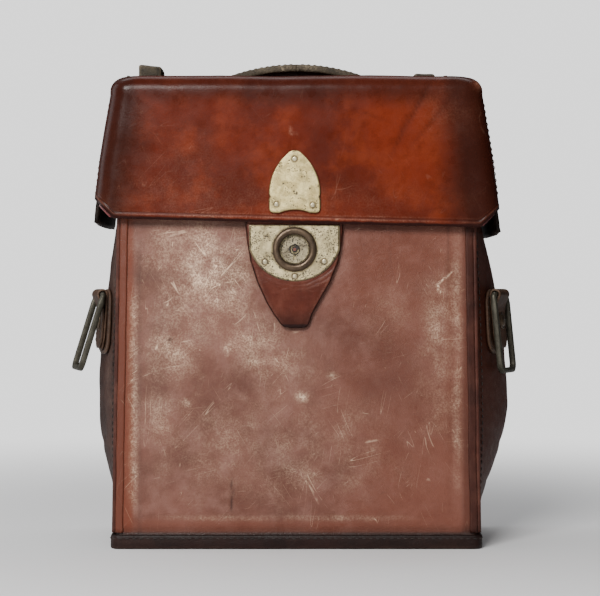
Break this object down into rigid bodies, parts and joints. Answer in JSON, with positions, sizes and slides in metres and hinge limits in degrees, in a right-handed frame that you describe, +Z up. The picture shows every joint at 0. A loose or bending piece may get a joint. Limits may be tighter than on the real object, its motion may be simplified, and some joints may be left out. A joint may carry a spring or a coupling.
{
  "type": "camera carrying case",
  "caption": "Soft-sided leather camera case with a hooded hinged lid, tongue and keyhole lock, sliding strap handle, bulging side gussets and side strap rings.",
  "frame": {"origin": "middle of the base, on the surface the case stands on", "axes": "+Z up through the lid and handle, -Y out of the front with the lock, +X to the right seen from the front"},
  "size_m": [0.2398, 0.1002, 0.257],
  "materials": {
    "body_leather": "scuffed red-brown hide, hazy and worn",
    "lid_leather": "smooth polished red-brown hide",
    "lid_end_leather": "dark olive-brown hide",
    "gusset_leather": "soft dark brown hide with a cool sheen",
    "edge_leather": "dark burnished edge leather",
    "lug_leather": "stitched dark brown hide",
    "strap_leather": "greasy olive-brown strap hide, frayed edges",
    "stiffener": "pressed board",
    "lining_cloth": "short-napped cloth",
    "worn_nickel": "worn and pitted nickel plate",
    "dark_brass": "brown patinated brass",
    "dark_steel": "tarnished dark steel"
  },
  "bodies": {
    "case": {"front_panel": "body_leather", "front_board": "stiffener", "back_panel": "body_leather", "back_board": "stiffener", "left_gusset": "gusset_leather", "right_gusset": "gusset_leather", "left_welts": "edge_leather", "right_welts": "edge_leather", "base_panel": "edge_leather", "base_board": "stiffener", "base_band": "edge_leather", "body_lining": "lining_cloth", "mouth_binding": "edge_leather", "hinge_strip": "edge_leather", "lock_base_plate": "worn_nickel", "lock_boss": "worn_nickel", "key_pin": "dark_brass", "lock_back_plate": "dark_steel", "lock_rivets": "worn_nickel", "left_lug_patch": "lug_leather", "left_lug_chape": "lug_leather", "left_lug_rivet": "worn_nickel", "right_lug_patch": "lug_leather", "right_lug_chape": "lug_leather", "right_lug_rivet": "worn_nickel"},
    "lid": {"lid_cover": "lid_leather", "lid_left_end": "lid_end_leather", "lid_right_end": "lid_end_leather", "lid_top_board": "stiffener", "lid_front_board": "stiffener", "lid_lining": "lining_cloth", "lid_edge_binding": "lid_leather", "upper_plate": "worn_nickel", "upper_plate_rivets": "worn_nickel", "tongue_root": "body_leather", "left_keeper": "strap_leather", "right_keeper": "strap_leather", "keeper_rivets": "dark_brass"},
    "tongue": {"tongue_leather": "body_leather", "tongue_plate": "worn_nickel", "tongue_collar": "dark_brass", "tongue_rivets": "worn_nickel"},
    "lock_cam": {"lock_cam": "dark_steel"},
    "lock_bolt": {"lock_bolt": "dark_steel"},
    "handle_grip": {"handle_grip": "strap_leather"},
    "handle_left_end": {"handle_left_end": "strap_leather"},
    "handle_right_end": {"handle_right_end": "strap_leather"},
    "left_ring": {"left_ring": "dark_steel"},
    "right_ring": {"right_ring": "dark_steel"}
  },
  "joints": [
    {"name": "lid_hinge", "type": "hinge", "parent": "case", "child": "lid", "pos_m": [0, 0.0457, 0.2448], "axis": [-1, 0, 0], "range_deg": [0, 180], "deforming": ["hinge_strip"]},
    {"name": "tongue_hinge", "type": "hinge", "parent": "lid", "child": "tongue", "pos_m": [-0.001, -0.0521, 0.169], "axis": [-1, 0, 0], "range_deg": [0, 75]},
    {"name": "key_cam", "type": "hinge", "parent": "case", "child": "lock_cam", "pos_m": [-0.001, -0.0463, 0.1557], "axis": [0, -1, 0], "range_deg": [0, 76]},
    {"name": "bolt_slide", "type": "slide", "parent": "case", "child": "lock_bolt", "axis": [0, 0, 1], "range_m": [0, 0.00167]},
    {"name": "handle_lift", "type": "slide", "parent": "lid", "child": "handle_grip", "axis": [0, 0, 1], "range_m": [0, 0.01]},
    {"name": "left_end_slide", "type": "slide", "parent": "handle_grip", "child": "handle_left_end", "axis": [0.3714, 0, -0.9285], "range_m": [0, 0.0108]},
    {"name": "right_end_slide", "type": "slide", "parent": "handle_grip", "child": "handle_right_end", "axis": [-0.3714, 0, -0.9285], "range_m": [0, 0.0108]},
    {"name": "left_ring_swing", "type": "hinge", "parent": "case", "child": "left_ring", "pos_m": [-0.10496, -0.02097, 0.1323], "axis": [-0.2701, 0.9628, 0], "range_deg": [-13, 122]},
    {"name": "right_ring_swing", "type": "hinge", "parent": "case", "child": "right_ring", "pos_m": [0.10842, -0.02123, 0.1324], "axis": [-0.3916, -0.9201, 0], "range_deg": [0, 135]}
  ],
  "couplings": [
    {"joint": "key_cam", "follows": "bolt_slide", "rad_per_m": 785.4},
    {"joint": "left_end_slide", "follows": "handle_lift", "ratio": 1.077},
    {"joint": "right_end_slide", "follows": "handle_lift", "ratio": 1.077}
  ]
}
